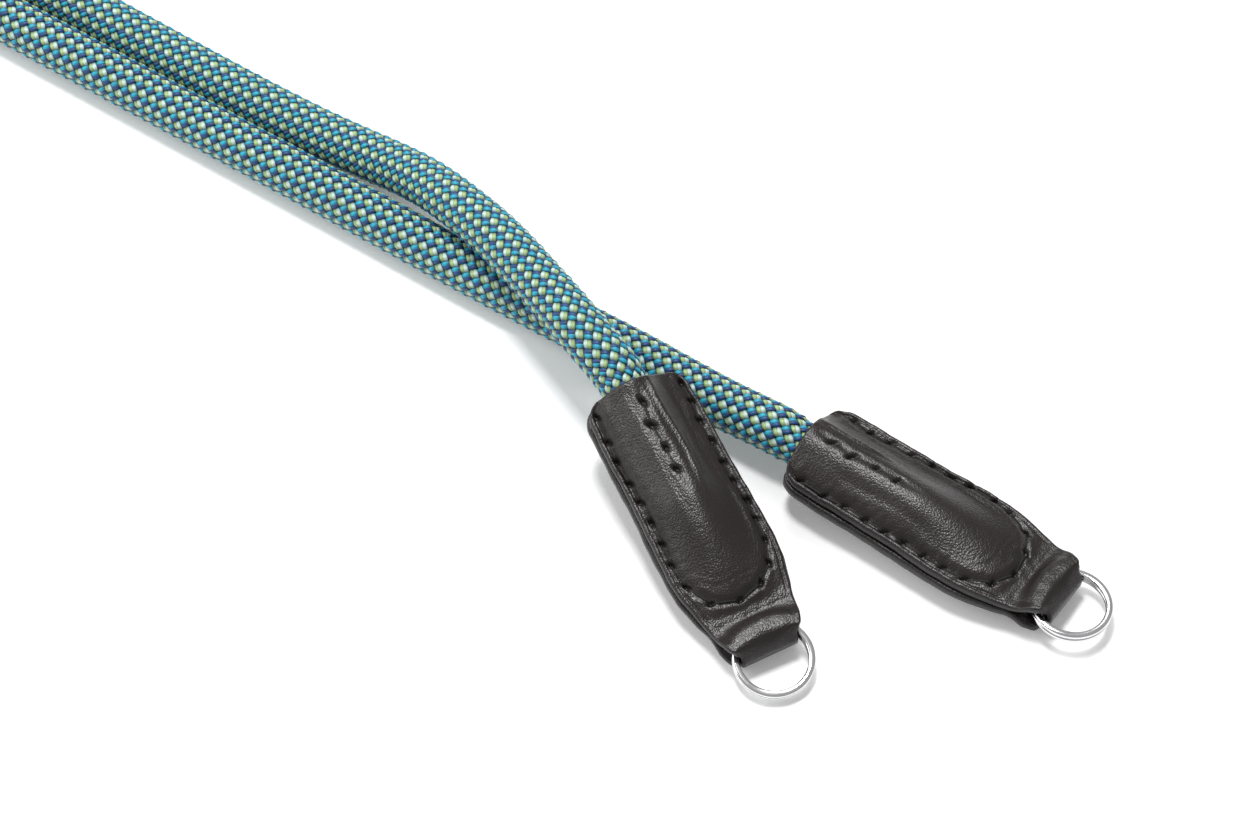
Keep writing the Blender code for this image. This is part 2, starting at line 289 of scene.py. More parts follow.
# The braid: strands of two yarns each, as many one way round as the other
STRANDS = 12  # each way round
CREST_STEP = 0.00236  # along the rope, from one ring of crests to the next
CREST = 0.00498  # from the rope's centreline to a strand's crest
DIP = 0.00070  # how far a strand goes down under the others
PALE_DROP = 0.00009  # how much deeper the pale strands lie than the blue ones
YARN_NARROWING = 0.10  # how much narrower a strand is where it goes under
YARN_ROW = ((0.01, 0.10), (0.19, 0.01), (0.47, 0.03), (0.75, 0.14), (0.89, 0.44))  # across, drop
CREST_PHASES = (-0.306, 0.0, 0.306, 1.0)  # a yarn's points, in half steps from its crest
SLOW_WAVE = 0.00002  # how much the crests differ in height along a strand
FAST_WAVE = 0.000015
CREST_PAINTED_SHADE = 0.22  # how much painted shade darkens a yarn beside its crest, where 1 is darkest
RIM_PAINTED_SHADE = 0.60  # how much more painted shade darkens it at its sides
YARN_END = 0.0035  # from a yarn's end to the deep end of the rope
CORE_END = 0.0040  # from the core's end to the deep end of the rope
CORE_RADIUS = 0.0040
CORE_POINTS = 460
MOUTH_SHARE = 0.91  # the rope's thickness at the tab's mouth
SQUEEZE_INSIDE = 0.004  # how far inside the mouth the rope is squeezed fully
SQUEEZE_OUTSIDE = 0.006  # how far outside the mouth it has its full thickness

# Each colour of yarn: the hand of its helix, its side of the strand, its colours and its sheen
YARNS = (
    ("lime", 1, -1, (0.24, 0.36, 0.13), (0.46, 0.62, 0.27), 0.08),
    ("pale", 1, 1, (0.36, 0.54, 0.48), (0.68, 0.83, 0.76), 0.08),
    ("turquoise", -1, 1, (0.004, 0.21, 0.35), (0.016, 0.50, 0.67), 0.08),
    ("navy", -1, -1, (0.003, 0.030, 0.125), (0.010, 0.085, 0.270), 0.06),
)
PAINTED_SHADE_BETWEEN_YARNS = (0.03, 0.10, 0.14)  # painted shade: what a yarn's colour is multiplied by deep between the crests

# The leather's colours, that of its cut edges, and the painted shade in its stitch holes and seam
# groove
LEATHER_DARK = (0.0105, 0.0070, 0.0066)
LEATHER_LIGHT = (0.0190, 0.0138, 0.0134)
CUT_EDGE_COLOUR = (0.0120, 0.0102, 0.0102)
PAINTED_PIT_SHADE_COLOUR = (0.0015, 0.0013, 0.0013)

# Lights, aimed at the point that the camera looks at: direction, size and power
LIGHT_DISTANCE = 1.4
LIGHTS = (
    ("back", (0.02, 0.52, 0.85), 0.60, 5),
    ("top", (-0.08, 0.20, 0.97), 0.28, 12),
    ("left", (-0.80, 0.10, 0.60), 1.00, 8),
)
WORLD_STRENGTH = 0.36
FLOOR_GLOW = 0.15
FLOOR_HALF = 3.0


def add_camera():
    azimuth = math.radians(CAMERA_AZIMUTH)
    elevation = math.radians(CAMERA_ELEVATION)
    back = Vector(
        (
            math.sin(azimuth) * math.cos(elevation),
            -math.cos(azimuth) * math.cos(elevation),
            math.sin(elevation),
        )
    )
    data = bpy.data.cameras.new("camera")
    data.lens = CAMERA_LENS
    data.sensor_width = 36
    data.clip_start = 0.01
    data.clip_end = 20
    camera = bpy.data.objects.new("camera", data)
    camera.location = LOOK_AT + back * CAMERA_DISTANCE
    camera.rotation_mode = "QUATERNION"
    camera.rotation_quaternion = back.to_track_quat("Z", "Y")
    bpy.context.scene.collection.objects.link(camera)
    bpy.context.scene.camera = camera


# Materials


def new_material(name):
    material = bpy.data.materials.new(name)
    material.use_nodes = True
    return material, material.node_tree.nodes, material.node_tree.links


def add_noise(nodes, links, vector, scale, detail=2.0, roughness=0.5):
    noise = nodes.new("ShaderNodeTexNoise")
    noise.inputs["Scale"].default_value = scale
    noise.inputs["Detail"].default_value = detail
    noise.inputs["Roughness"].default_value = roughness
    links.new(vector, noise.inputs["Vector"])
    return noise.outputs["Fac"]


def add_ramp(nodes, links, value, stops):
    ramp = nodes.new("ShaderNodeValToRGB")
    elements = ramp.color_ramp.elements
    while len(elements) < len(stops):
        elements.new(0.5)
    for element, (position, colour) in zip(elements, stops):
        element.position = position
        element.color = (*colour, 1)
    links.new(value, ramp.inputs["Fac"])
    return ramp.outputs["Color"]


def add_range(nodes, links, value, low, high, from_low=0.0, from_high=1.0):
    spread = nodes.new("ShaderNodeMapRange")
    spread.inputs["From Min"].default_value = from_low
    spread.inputs["From Max"].default_value = from_high
    spread.inputs["To Min"].default_value = low
    spread.inputs["To Max"].default_value = high
    links.new(value, spread.inputs["Value"])
    return spread.outputs["Result"]


def add_bump(nodes, links, height, strength, distance, normal=None):
    bump = nodes.new("ShaderNodeBump")
    bump.inputs["Strength"].default_value = strength
    bump.inputs["Distance"].default_value = distance
    links.new(height, bump.inputs["Height"])
    if normal is not None:
        links.new(normal, bump.inputs["Normal"])
    return bump.outputs["Normal"]


def attribute_value(nodes, name):
    attribute = nodes.new("ShaderNodeAttribute")
    attribute.attribute_name = name
    return attribute.outputs["Fac"]


def add_mix(nodes, links, factor, first, second, blend="MIX"):
    """The first colour, mixed with a plain second one by the factor."""
    mix = nodes.new("ShaderNodeMix")
    mix.data_type = "RGBA"
    mix.blend_type = blend
    links.new(factor, mix.inputs["Factor"])
    links.new(first, mix.inputs["A"])
    mix.inputs["B"].default_value = (*second, 1)
    return mix.outputs["Result"]


def scaled_sum(nodes, links, value, scale, added):
    total = nodes.new("ShaderNodeMath")
    total.operation = "MULTIPLY_ADD"
    total.inputs[1].default_value = scale
    links.new(value, total.inputs[0])
    links.new(added, total.inputs[2])
    return total.outputs["Value"]


def yarn_material(name, dark, light, sheen):
    """Shiny synthetic fibres that lie along the yarn, darkened by painted shade between the crests
    and at its sides.
    """
    material, nodes, links = new_material(name)
    shader = nodes["Principled BSDF"]
    place = nodes.new("ShaderNodeUVMap")
    place.uv_map = "yarn"
    stretch = nodes.new("ShaderNodeMapping")
    stretch.inputs["Scale"].default_value = (0.55, 9.0, 1.0)
    stretch.inputs["Rotation"].default_value = (0.0, 0.0, math.radians(7))
    links.new(place.outputs["UV"], stretch.inputs["Vector"])
    fibres = add_noise(nodes, links, stretch.outputs["Vector"], 1.6, 3.0, 0.6)
    patches = add_noise(nodes, links, place.outputs["UV"], 0.35, 2.0)
    mixed = scaled_sum(nodes, links, patches, 0.35, fibres)
    colour = add_ramp(nodes, links, mixed, ((0.42, dark), (0.86, light)))
    # Painted shade: the colour is darkened towards dark teal where the yarn dives under the others
    # and at its sides
    deep = add_range(nodes, links, attribute_value(nodes, "painted_shade"), 0.0, 1.0, 0.05, 0.50)
    shaded = add_mix(nodes, links, deep, colour, PAINTED_SHADE_BETWEEN_YARNS, "MULTIPLY")
    links.new(shaded, shader.inputs["Base Color"])
    links.new(add_range(nodes, links, fibres, 0.55, 0.34), shader.inputs["Roughness"])
    links.new(add_bump(nodes, links, fibres, 0.45, 0.00008), shader.inputs["Normal"])
    shader.inputs["Sheen Weight"].default_value = sheen
    shader.inputs["Sheen Roughness"].default_value = 0.4
    return material


def core_material():
    """The rope's dark inside, seen only between the yarns."""
    material, nodes, links = new_material("rope core")
    shader = nodes["Principled BSDF"]
    place = nodes.new("ShaderNodeTexCoord").outputs["Object"]
    grain = add_noise(nodes, links, place, 1500.0, 3.0)
    dark = (0.004, 0.012, 0.018)
    light = (0.010, 0.030, 0.040)
    colour = add_ramp(nodes, links, grain, ((0.3, dark), (0.7, light)))
    links.new(colour, shader.inputs["Base Color"])
    links.new(add_range(nodes, links, grain, 0.75, 0.95), shader.inputs["Roughness"])
    links.new(add_bump(nodes, links, grain, 0.4, 0.0001), shader.inputs["Normal"])
    return material


def leather_material(name):
    """Dark waxed leather with a fine pebbled grain, and painted shade in its stitch holes and seam
    groove.
    """
    material, nodes, links = new_material(name)
    shader = nodes["Principled BSDF"]
    place = nodes.new("ShaderNodeTexCoord").outputs["Object"]
    pebbles = nodes.new("ShaderNodeTexVoronoi")
    pebbles.feature = "SMOOTH_F1"
    pebbles.inputs["Scale"].default_value = 2700.0
    pebbles.inputs["Smoothness"].default_value = 0.4
    links.new(place, pebbles.inputs["Vector"])
    fine = add_noise(nodes, links, place, 5200.0, 2.0)
    soft = add_noise(nodes, links, place, 520.0, 3.0)
    broad = add_noise(nodes, links, place, 70.0, 3.0)
    edge = attribute_value(nodes, "cut_edge")
    colour = add_ramp(nodes, links, broad, ((0.32, LEATHER_DARK), (0.70, LEATHER_LIGHT)))
    tinted = add_mix(nodes, links, edge, colour, CUT_EDGE_COLOUR)
    # Painted shade: the colour goes nearly black in the stitch holes and along the seam's groove
    pit_shaded_colour = add_mix(nodes, links, attribute_value(nodes, "pit"), tinted, PAINTED_PIT_SHADE_COLOUR)
    links.new(pit_shaded_colour, shader.inputs["Base Color"])
    sheen = add_range(nodes, links, soft, 0.26, 0.38)
    links.new(scaled_sum(nodes, links, edge, 0.16, sheen), shader.inputs["Roughness"])
    first = add_bump(nodes, links, pebbles.outputs["Distance"], 0.62, -0.00010)
    second = add_bump(nodes, links, fine, 0.45, 0.00005, first)
    third = add_bump(nodes, links, soft, 0.30, 0.00014, second)
    links.new(third, shader.inputs["Normal"])
    return material


def thread_material():
    """Black waxed thread, its plies twisted."""
    material, nodes, links = new_material("waxed thread")
    shader = nodes["Principled BSDF"]
    place = nodes.new("ShaderNodeUVMap")
    place.uv_map = "thread"
    twist = nodes.new("ShaderNodeTexWave")
    twist.wave_type = "BANDS"
    twist.bands_direction = "DIAGONAL"
    twist.inputs["Scale"].default_value = 1.4
    twist.inputs["Distortion"].default_value = 0.6
    links.new(place.outputs["UV"], twist.inputs["Vector"])
    plies = twist.outputs["Fac"]
    dark = (0.004, 0.0038, 0.0040)
    light = (0.012, 0.011, 0.0115)
    colour = add_ramp(nodes, links, plies, ((0.2, dark), (0.9, light)))
    links.new(colour, shader.inputs["Base Color"])
    links.new(add_range(nodes, links, plies, 0.62, 0.48), shader.inputs["Roughness"])
    links.new(add_bump(nodes, links, plies, 0.6, 0.00008), shader.inputs["Normal"])
    return material


def steel_material():
    """Bright plated steel with faint wear."""
    material, nodes, links = new_material("plated steel")
    shader = nodes["Principled BSDF"]
    place = nodes.new("ShaderNodeTexCoord").outputs["Object"]
    cloud = add_noise(nodes, links, place, 260.0, 4.0)
    scratches = nodes.new("ShaderNodeMapping")
    scratches.inputs["Scale"].default_value = (900.0, 900.0, 6000.0)
    links.new(place, scratches.inputs["Vector"])
    fine = add_noise(nodes, links, scratches.outputs["Vector"], 1.0, 2.0)
    dark = (0.78, 0.78, 0.79)
    light = (0.90, 0.90, 0.91)
    colour = add_ramp(nodes, links, cloud, ((0.3, dark), (0.7, light)))
    links.new(colour, shader.inputs["Base Color"])
    shader.inputs["Metallic"].default_value = 1.0
    links.new(add_range(nodes, links, cloud, 0.07, 0.17), shader.inputs["Roughness"])
    links.new(add_bump(nodes, links, fine, 0.08, 0.00002), shader.inputs["Normal"])
    return material


# Shared geometry


def tab_matrix(place):
    """A tab's own frame: X runs from mouth to fold, Y across it and Z out of its front."""
    turns = Euler((math.radians(place.roll), math.radians(place.pitch), math.radians(-place.yaw)))
    return Matrix.Translation(place.mouth) @ turns.to_matrix().to_4x4()


def spline_bends(points, steps):
    """Second derivatives of the natural cubic spline through the points."""
    count = len(points)
    matrix = np.zeros((count, count))
    right = np.zeros((count, 3))
    matrix[0, 0] = 1.0
    matrix[-1, -1] = 1.0
    for i in range(1, count - 1):
        before = steps[i - 1]
        after = steps[i]
        matrix[i, i - 1 : i + 2] = (before, 2 * (before + after), after)
        slope_before = (points[i] - points[i - 1]) / before
        slope_after = (points[i + 1] - points[i]) / after
        right[i] = 6 * (slope_after - slope_before)
    return np.linalg.solve(matrix, right)


def smooth_curve(points, fineness=40):
    """Fine points on the natural cubic spline, fineness of them to each of the given points."""
    points = np.asarray(points, float)
    steps = np.linalg.norm(np.diff(points, axis=0), axis=1)
    bends = spline_bends(points, steps)
    fine = []
    for i, step in enumerate(steps):
        for b in np.arange(fineness) / fineness:
            a = 1 - b
            line = a * points[i] + b * points[i + 1]
            sag = (a**3 - a) * bends[i] + (b**3 - b) * bends[i + 1]
            fine.append(line + sag * step**2 / 6)
    fine.append(points[-1])
    return np.array(fine)


def flat_curve(points, fineness):
    """Fine points on the smooth curve through points in a plane."""
    return smooth_curve(np.column_stack([points, np.zeros(len(points))]), fineness)[:, :2]


def smooth_table(wanted, known, values):
    """Values of a smooth curve through a table, which keeps to the table's own rises and falls."""
    wanted = np.asarray(wanted, float)
    steps = np.diff(known)
    slopes = np.diff(values) / steps
    tangents = np.zeros(len(known))
    tangents[0] = slopes[0]
    tangents[-1] = slopes[-1]
    for i in range(1, len(known) - 1):
        before = slopes[i - 1]
        after = slopes[i]
        if before * after > 0:
            tangents[i] = 2 * before * after / (before + after)
    place = np.clip(np.searchsorted(known, wanted) - 1, 0, len(steps) - 1)
    step = steps[place]
    t = np.clip((wanted - known[place]) / step, 0, 1)
    a = (1 + 2 * t) * (1 - t) ** 2 * values[place] + t * t * (3 - 2 * t) * values[place + 1]
    return a + step * (t * (1 - t) ** 2 * tangents[place] - t * t * (1 - t) * tangents[place + 1])


def soft_step(value):
    value = np.clip(value, 0, 1)
    return value * value * (3 - 2 * value)


def rising(value, start, reach):
    """From 0 at the start to 1 a reach further on, without corners."""
    return soft_step((value - start) / reach)


def falling(value, end, reach):
    """From 1 a reach before the end to 0 at the end, without corners."""
    return soft_step((end - value) / reach)


def ridge(offset, half, power=2):
    """A smooth hump of height 1, by the distance from its middle."""
    return np.exp(-(np.abs(offset / half) ** power))


def new_piece(name, points, faces, material, uv_name=None, uv=None, place=None):
    """A smooth mesh object in the row frame, or in the given frame."""
    mesh = bpy.data.meshes.new(name)
    mesh.from_pydata(points, [], faces)
    if uv is not None:
        layer = mesh.uv_layers.new(name=uv_name)
        corners = np.empty(len(mesh.loops), int)
        mesh.loops.foreach_get("vertex_index", corners)
        layer.data.foreach_set("uv", uv[corners].ravel())
    mesh.shade_smooth()
    mesh.materials.append(material)
    obj = bpy.data.objects.new(name, mesh)
    if place is not None:
        obj.matrix_world = place
    bpy.context.scene.collection.objects.link(obj)
    return obj


def add_attribute(obj, name, values):
    attribute = obj.data.attributes.new(name, "FLOAT", "POINT")
    attribute.data.foreach_set("value", values)


def keep_edges_crisp(obj, columns):
    """Shade the edges along each row's first and last points as sharp ones, so that the mesh's
    back doesn't darken its front."""
    edges = obj.data.edges
    ends = np.empty(2 * len(edges), int)
    edges.foreach_get("vertices", ends)
    column = ends.reshape(-1, 2) % columns
    along = column[:, 0] == column[:, 1]
    outermost = (column[:, 0] == 0) | (column[:, 0] == columns - 1)
    sharp = obj.data.attributes.new("sharp_edge", "BOOLEAN", "EDGE")
    sharp.data.foreach_set("value", along & outermost)


def grid_faces(rows, columns, start=0, round_rows=False):
    """Quads of a grid of points. With round_rows each row's last point joins its first."""
    last = columns if round_rows else columns - 1
    row, column = np.meshgrid(np.arange(rows - 1), np.arange(last), indexing="ij")
    following = (column + 1) % columns
    corners = (
        row * columns + column,
        (row + 1) * columns + column,
        (row + 1) * columns + following,
        row * columns + following,
    )
    return start + np.stack(corners, axis=-1).reshape(-1, 4)


def cap_faces(rim):
    """Quads that close a tube's end, whose rim has an even number of points."""
    steps = np.arange(len(rim) // 2 - 1)
    return np.stack([rim[steps], rim[steps + 1], rim[-2 - steps], rim[-1 - steps]], axis=-1)


# Rope


def rope_centreline(frame_a, frame_b):
    """Fine points of the rope's middle line, from deep in tab A round to deep in tab B."""
    deep = SOCKET_DEPTH - CLEARANCE
    gripped = (deep, deep / 2, -CLEARANCE)
    start = [frame_a @ Vector((along, SOCKET_SIDE, SOCKET_RISE)) for along in gripped]
    end = [frame_b @ Vector((along, SOCKET_SIDE, SOCKET_RISE)) for along in reversed(gripped)]
    neck_a = frame_a @ Vector((-ROPE_NECK, SOCKET_SIDE, SOCKET_RISE))
    neck_b = frame_b @ Vector((-ROPE_NECK, SOCKET_SIDE, SOCKET_RISE))
    route = [Vector(point) / 1000 for point in ROUTE_MM]
    return smooth_curve([*start, neck_a, *route, neck_b, *end])


class Line:
    """A curve with a frame that doesn't twist about it, read by the length along it."""

    def __init__(self, points):
        self.points = points
        steps = np.linalg.norm(np.diff(points, axis=0), axis=1)
        self.lengths = np.concatenate([[0.0], np.cumsum(steps)])
        tangents = np.gradient(points, axis=0)
        self.tangents = tangents / np.linalg.norm(tangents, axis=1)[:, None]
        up = np.array((0.0, 0.0, 1.0))
        self.ups = np.zeros_like(points)
        for i, tangent in enumerate(self.tangents):
            up = up - tangent * up.dot(tangent)
            up = up / np.linalg.norm(up)
            self.ups[i] = up

    def read(self, values, along):
        return np.stack([np.interp(along, self.lengths, values[:, k]) for k in range(3)], axis=-1)

    def place(self, along, turn, radius):
        """Points at an angle round the curve and a distance from it."""
        tangent = self.read(self.tangents, along)
        up = self.read(self.ups, along)
        up = up / np.linalg.norm(up, axis=-1)[..., None]
        side = np.cross(tangent, up)
        out = np.cos(turn)[..., None] * up + np.sin(turn)[..., None] * side
        return self.read(self.points, along) + radius[..., None] * out


def rope_share(line, along):
    """How much of its full thickness the rope has, which the leather squeezes."""
    mouth_a = SOCKET_DEPTH - CLEARANCE
    mouth_b = line.lengths[-1] - mouth_a
    outside = np.minimum(along - mouth_a, mouth_b - along)
    tight = GRIPPED_RADIUS / ROPE_RADIUS
    squeezed = tight + (MOUTH_SHARE - tight) * rising(outside, -SQUEEZE_INSIDE, SQUEEZE_INSIDE)
    return squeezed + (1 - MOUTH_SHARE) * rising(outside, 0, SQUEEZE_OUTSIDE)


def add_core(line, material):
    """The rope's inside, one dark line that the yarns lie on."""
    curve = bpy.data.curves.new("rope_core", "CURVE")
    curve.dimensions = "3D"
    curve.bevel_depth = CORE_RADIUS
    curve.bevel_resolution = 3
    curve.use_fill_caps = True
    first = SOCKET_DEPTH - CLEARANCE - CORE_END
    along = np.linspace(first, line.lengths[-1] - first, CORE_POINTS)
    points = line.read(line.points, along)
    spline = curve.splines.new("POLY")
    spline.points.add(len(points) - 1)
    for point, position, share in zip(spline.points, points, rope_share(line, along)):
        point.co = (*position, 1)
        point.radius = share
    spline.use_smooth = True
    curve.materials.append(material)
    core = bpy.data.objects.new("rope_core", curve)
    bpy.context.scene.collection.objects.link(core)
    length = float(np.linalg.norm(np.diff(points, axis=0), axis=1).sum())
    return core, points[0], length


def yarn_phases(line, shift):
    """Where a yarn's points lie along the rope, in half steps."""
    first = SOCKET_DEPTH - CLEARANCE - YARN_END
    last = line.lengths[-1] - first
    crests = np.arange(math.ceil(first / CREST_STEP), math.floor(last / CREST_STEP))
    return (crests[:, None] * 2 + shift + np.array(CREST_PHASES)[None, :]).ravel()


def yarn_section(left):
    """A yarn's points across: their places on the strand, and how far below its crest they lie."""
    across = np.array([place for place, drop in YARN_ROW]) * MM
    drop = np.array([drop for place, drop in YARN_ROW]) * MM
    if left < 0:
        return -across[::-1], drop[::-1]
    return across, drop


def yarn_painted_shade(height, drop):
    """How far down between the crests each point is, from 0 to 1, for the shade painted into the
    yarn's colour.
    """
    dip = np.where(height > 0.9, 0.0, np.where(height > 0, CREST_PAINTED_SHADE, 1.0))
    rim = RIM_PAINTED_SHADE * np.clip((drop - 0.12 * MM) / (0.3 * MM), 0, 1)
    return np.clip(dip[:, None] + rim[None, :], 0, 1).ravel()


def add_yarn(name, line, way, left, material):
    """All yarns of one colour. way is +1 or -1, the hand of their helix. left is +1 or -1, the
    yarn's side of its strand, looking along it from outside."""
    half_step = CREST_STEP / 2
    turn_rate = math.pi / (STRANDS * half_step)
    slope = math.atan(turn_rate * ROPE_RADIUS)
    shift = 0 if way > 0 else 1
    phases = yarn_phases(line, shift)
    across, drop = yarn_section(left)
    middle = phases * half_step
    height = np.cos((phases - shift) * math.pi)
    under = (1 - height) / 2
    offset = across[None, :] * (1 - YARN_NARROWING * under)[:, None]
    lean = offset * math.sin(slope)
    share = rope_share(line, middle[:, None] + lean)
    run = np.broadcast_to((middle / math.cos(slope) / MM)[:, None], offset.shape)
    sunk = DIP * under + (PALE_DROP if way > 0 else 0)
    tube = grid_faces(len(phases), len(across), 0, True)
    first_row = np.arange(len(across))
    last_row = first_row + offset.size - len(across)
    points = []
    faces = []
    uv = []
    for strand in range(STRANDS):
        start = strand * 2 * math.pi / STRANDS
        wave = SLOW_WAVE * np.sin(phases * 0.61 + strand * 2.1)
        wave = wave + FAST_WAVE * np.sin(phases * 1.93 + strand)
        turn = start + way * (turn_rate * middle)[:, None] - offset * math.cos(slope) / ROPE_RADIUS
        radius = ((CREST + wave - sunk)[:, None] - drop[None, :]) * share
        points.append(line.place(middle[:, None] + way * lean, turn, radius).reshape(-1, 3))
        count = strand * offset.size
        faces.extend((count + tube).tolist())
        faces.append((count + first_row).tolist())
        faces.append((count + last_row[::-1]).tolist())
        place = np.stack([run + 31.0 * strand, offset / MM + 3.0 * strand], axis=-1)
        uv.append(place.reshape(-1, 2))
    yarn = new_piece(name, np.concatenate(points), faces, material, "yarn", np.concatenate(uv))
    keep_edges_crisp(yarn, len(across))
    # Each point's painted shade, read by the yarn's material
    add_attribute(yarn, "painted_shade", np.tile(yarn_painted_shade(height, drop), STRANDS))
    return yarn


def add_rope(frame_a, frame_b):
    line = Line(rope_centreline(frame_a, frame_b))
    core, mouth, length = add_core(line, core_material())
    yarns = []
    for name, way, left, dark, light, sheen in YARNS:
        material = yarn_material(f"{name} yarn", dark, light, sheen)
        yarns.append(add_yarn(f"{name}_yarns", line, way, left, material))
    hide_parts("rope")
    for piece in (core, *yarns):
        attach(piece, "strap")


# Leather tabs, in millimetres in the tab's own frame


def seam_line(letter):
    """Fine points of the stitched line round a tab, past the mouth at both ends."""
    holes = np.array(SEAMS[letter])
    before = holes[0] + (holes[0] - holes[1]) * (2.0, 0.0)
    after = holes[-1] + (holes[-1] - holes[-2]) * (2.0, 0.0)
    points = np.vstack([before, holes, after])
    return flat_curve(points, 8)


def seam_distance(line, u, v):
    """Distance from the stitched line, positive inside it."""
    start = line[:-1]
    step = np.diff(line, axis=0)
    du = u[..., None] - start[:, 0]
    dv = v[..., None] - start[:, 1]
    t = np.clip((du * step[:, 0] + dv * step[:, 1]) / (step**2).sum(axis=1), 0, 1)
    off = np.hypot(du - t * step[:, 0], dv - t * step[:, 1])
    nearest = off.argmin(axis=-1)
    pick = np.take_along_axis
    side = step[nearest, 0] * pick(dv, nearest[..., None], -1)[..., 0]
    side = side - step[nearest, 1] * pick(du, nearest[..., None], -1)[..., 0]
    return np.sign(side) * pick(off, nearest[..., None], -1)[..., 0]


def dimples(holes, u, v, radius):
    """Awl holes, longer than wide, each turned a little off the line of the stitches."""
    total = np.zeros_like(u)
    ways = np.gradient(np.array(holes), axis=0)
    for i, ((hole_u, hole_v), (way_u, way_v)) in enumerate(zip(holes, ways)):
        turn = math.atan2(way_v, way_u) + 0.45 + 0.35 * math.sin(2.3 * i)
        along = (u - hole_u) * math.cos(turn) + (v - hole_v) * math.sin(turn)
        across = (v - hole_v) * math.cos(turn) - (u - hole_u) * math.sin(turn)
        long = radius * (1.55 + 0.28 * math.sin(1.7 * i + 0.6))
        wide = radius * (0.68 + 0.12 * math.sin(3.1 * i))
        total = np.maximum(total, ridge(along, long, 2.6) * ridge(across, wide))
    return total


def ripples(letter, u, v):
    """The lengthwise waves in the front leather, where it is drawn over the rope."""
    total = np.zeros_like(u)
    for first, last, near, far, width, height in RIPPLES[letter]:
        middle = near + (far - near) * (u - first) / (last - first) + 0.25 * np.sin(u * 0.32 + near)
        ends = rising(u, first, 4.0) * falling(u, last, 9.0)
        total = total + height * ridge(v - middle, width) * ends
    return total


def bulge(u, v):
    """The share of the bulge over the rope at a place on the tab."""
    reach = np.clip(1 - ((v - SIDE) / BULGE_HALF) ** 2, 0, 1)
    return smooth_table(u, SECTION_ALONG, SECTION_BULGE) * reach**BULGE_FULLNESS


def seam_relief(letter, u, v, seam):
    """The pad inside the seam, its groove and holes, and the puckers along it."""
    pad = PAD_RISE * rising(seam, 0.25, 1.5) * (1 - bulge(u, v)) ** 2 * rising(u, 0.3, 3.0)
    groove = GROOVE_DEPTH * ridge(seam, GROOVE_HALF) * rising(u, 0.6, 1.5)
    puckers = PUCKER_RISE * np.sin(u * 1.9 + v * 0.7) * np.sin(u * 0.9 - v * 1.6 + 1.0)
    holes = SEAM_HOLE_DEPTH * dimples(SEAMS[letter], u, v, SEAM_HOLE_SIZE)
    return pad - groove + puckers * falling(np.abs(seam), 4.0, 4.0) - holes


def middle_relief(letter, u, v):
    """The furrow of the middle row of stitches, and its holes."""
    row = np.array(MIDDLE_ROWS[letter])
    middle = np.interp(u, row[:, 0], row[:, 1])
    furrow = FURROW_DEPTH * ridge(v - middle - FURROW_SIDE, FURROW_HALF)
    holes = MIDDLE_HOLE_DEPTH * dimples(MIDDLE_ROWS[letter], u, v, MIDDLE_HOLE_SIZE)
    return -furrow * rising(u, 0.5, 3.0) * falling(u, 27.5, 8.0) - holes


def wrinkles(u, v, seam):
    """Fine wrinkles round the bulge's far end."""
    away = np.hypot(u - WRINKLE_CENTRE, v * 0.9)
    bent = 2.1 * np.sin(v * 0.6 + 0.5) + 1.5 * np.sin(u * 0.9 - v * 0.35)
    zone = rising(away, 6.0, 2.0) * rising(u, 37.0, 3.0) * rising(seam, 1.0, 2.0)
    return WRINKLE_RISE * np.sin(away * 3.3 + bent) * zone


def relief(letter, u, v, half, front):
    """What moulding, stitching and creasing add to the leather's plain form."""
    seam = seam_distance(seam_line(letter), u, v)
    crease = CREASE_DEPTH * ridge(half - np.abs(v) - CREASE_INSET, CREASE_HALF)
    total = seam_relief(letter, u, v, seam) + middle_relief(letter, u, v) + wrinkles(u, v, seam)
    total = total - crease * falling(u, 49.0, 3.0)
    droop = DROOP_SLOPE * np.clip(-seam - 0.3, 0, 3.0) * rising(u, 30.0, 8.0)
    droop = droop + (FLANGE - FOLD[0, 1] - droop) * rising(u, 46.0, 2.4)
    return (total + ripples(letter, u, v) if front else BACK_SHARE * total) - droop


def flat_outside(letter, u, v, half, front):
    """Height of the flat layers' outside over the middle plane, on the front or on the back."""
    height = FRONT if front else BACK
    return FLANGE + (height - FLANGE) * bulge(u, v) + relief(letter, u, v, half, front)


def flat_inside(u, v, front):
    """Height of the layers' inside, which lies on the rope and on the other layer."""
    share = smooth_table(u, SECTION_ALONG, SECTION_BULGE) ** 1.5
    radius = GRIPPED_RADIUS / MM + ROPE_GAP + MOUTH_GAP * falling(u, 3.0, 3.0)
    rope = np.sqrt(np.clip(radius**2 - (v - SIDE) ** 2, 0, None))
    rope = (rope + (RISE if front else -RISE)) * share
    return np.maximum(rope, LAYER_GAP)


def columns_across(half):
    """Places across one station, closer together near the edges."""
    inner = half - NEAR_EDGE[-1] - NEAR_EDGE_STEP
    plain = np.linspace(-inner, inner, PLAIN_COLUMNS)
    return np.concatenate([-half + NEAR_EDGE, plain, half - NEAR_EDGE[::-1]])


def strip_station(outer, inner):
    """The closed row of points round the strip: its outside, an edge, its inside, the other edge."""
    right = [outer[-1] + (inner[-1] - outer[-1]) * share for share, back in EDGE_ROW]
    left = [inner[0] + (outer[0] - inner[0]) * share for share, back in EDGE_ROW]
    for edge, sign in ((right, 1), (left, -1)):
        for point, (share, back) in zip(edge, EDGE_ROW):
            point[1] += sign * (NEAR_EDGE[0] - back)
    return np.vstack([outer, right, inner[::-1], left])


def half_at(letter, u, side):
    """Half the strip's width. The back layer reaches out a little further than the front one."""
    half = smooth_table(u, SECTION_ALONG, SECTION_HALF)
    seed = 1.7 if letter == "a" else 4.1
    wander = 0.05 * np.sin(u * 0.47 + seed + side) + 0.03 * np.sin(u * 1.31 + 2 * seed)
    reach = -0.18 if side > 0 else 0.22
    return half + reach * falling(u, 50.0, 4.0) + wander * falling(u, 52.0, 6.0)


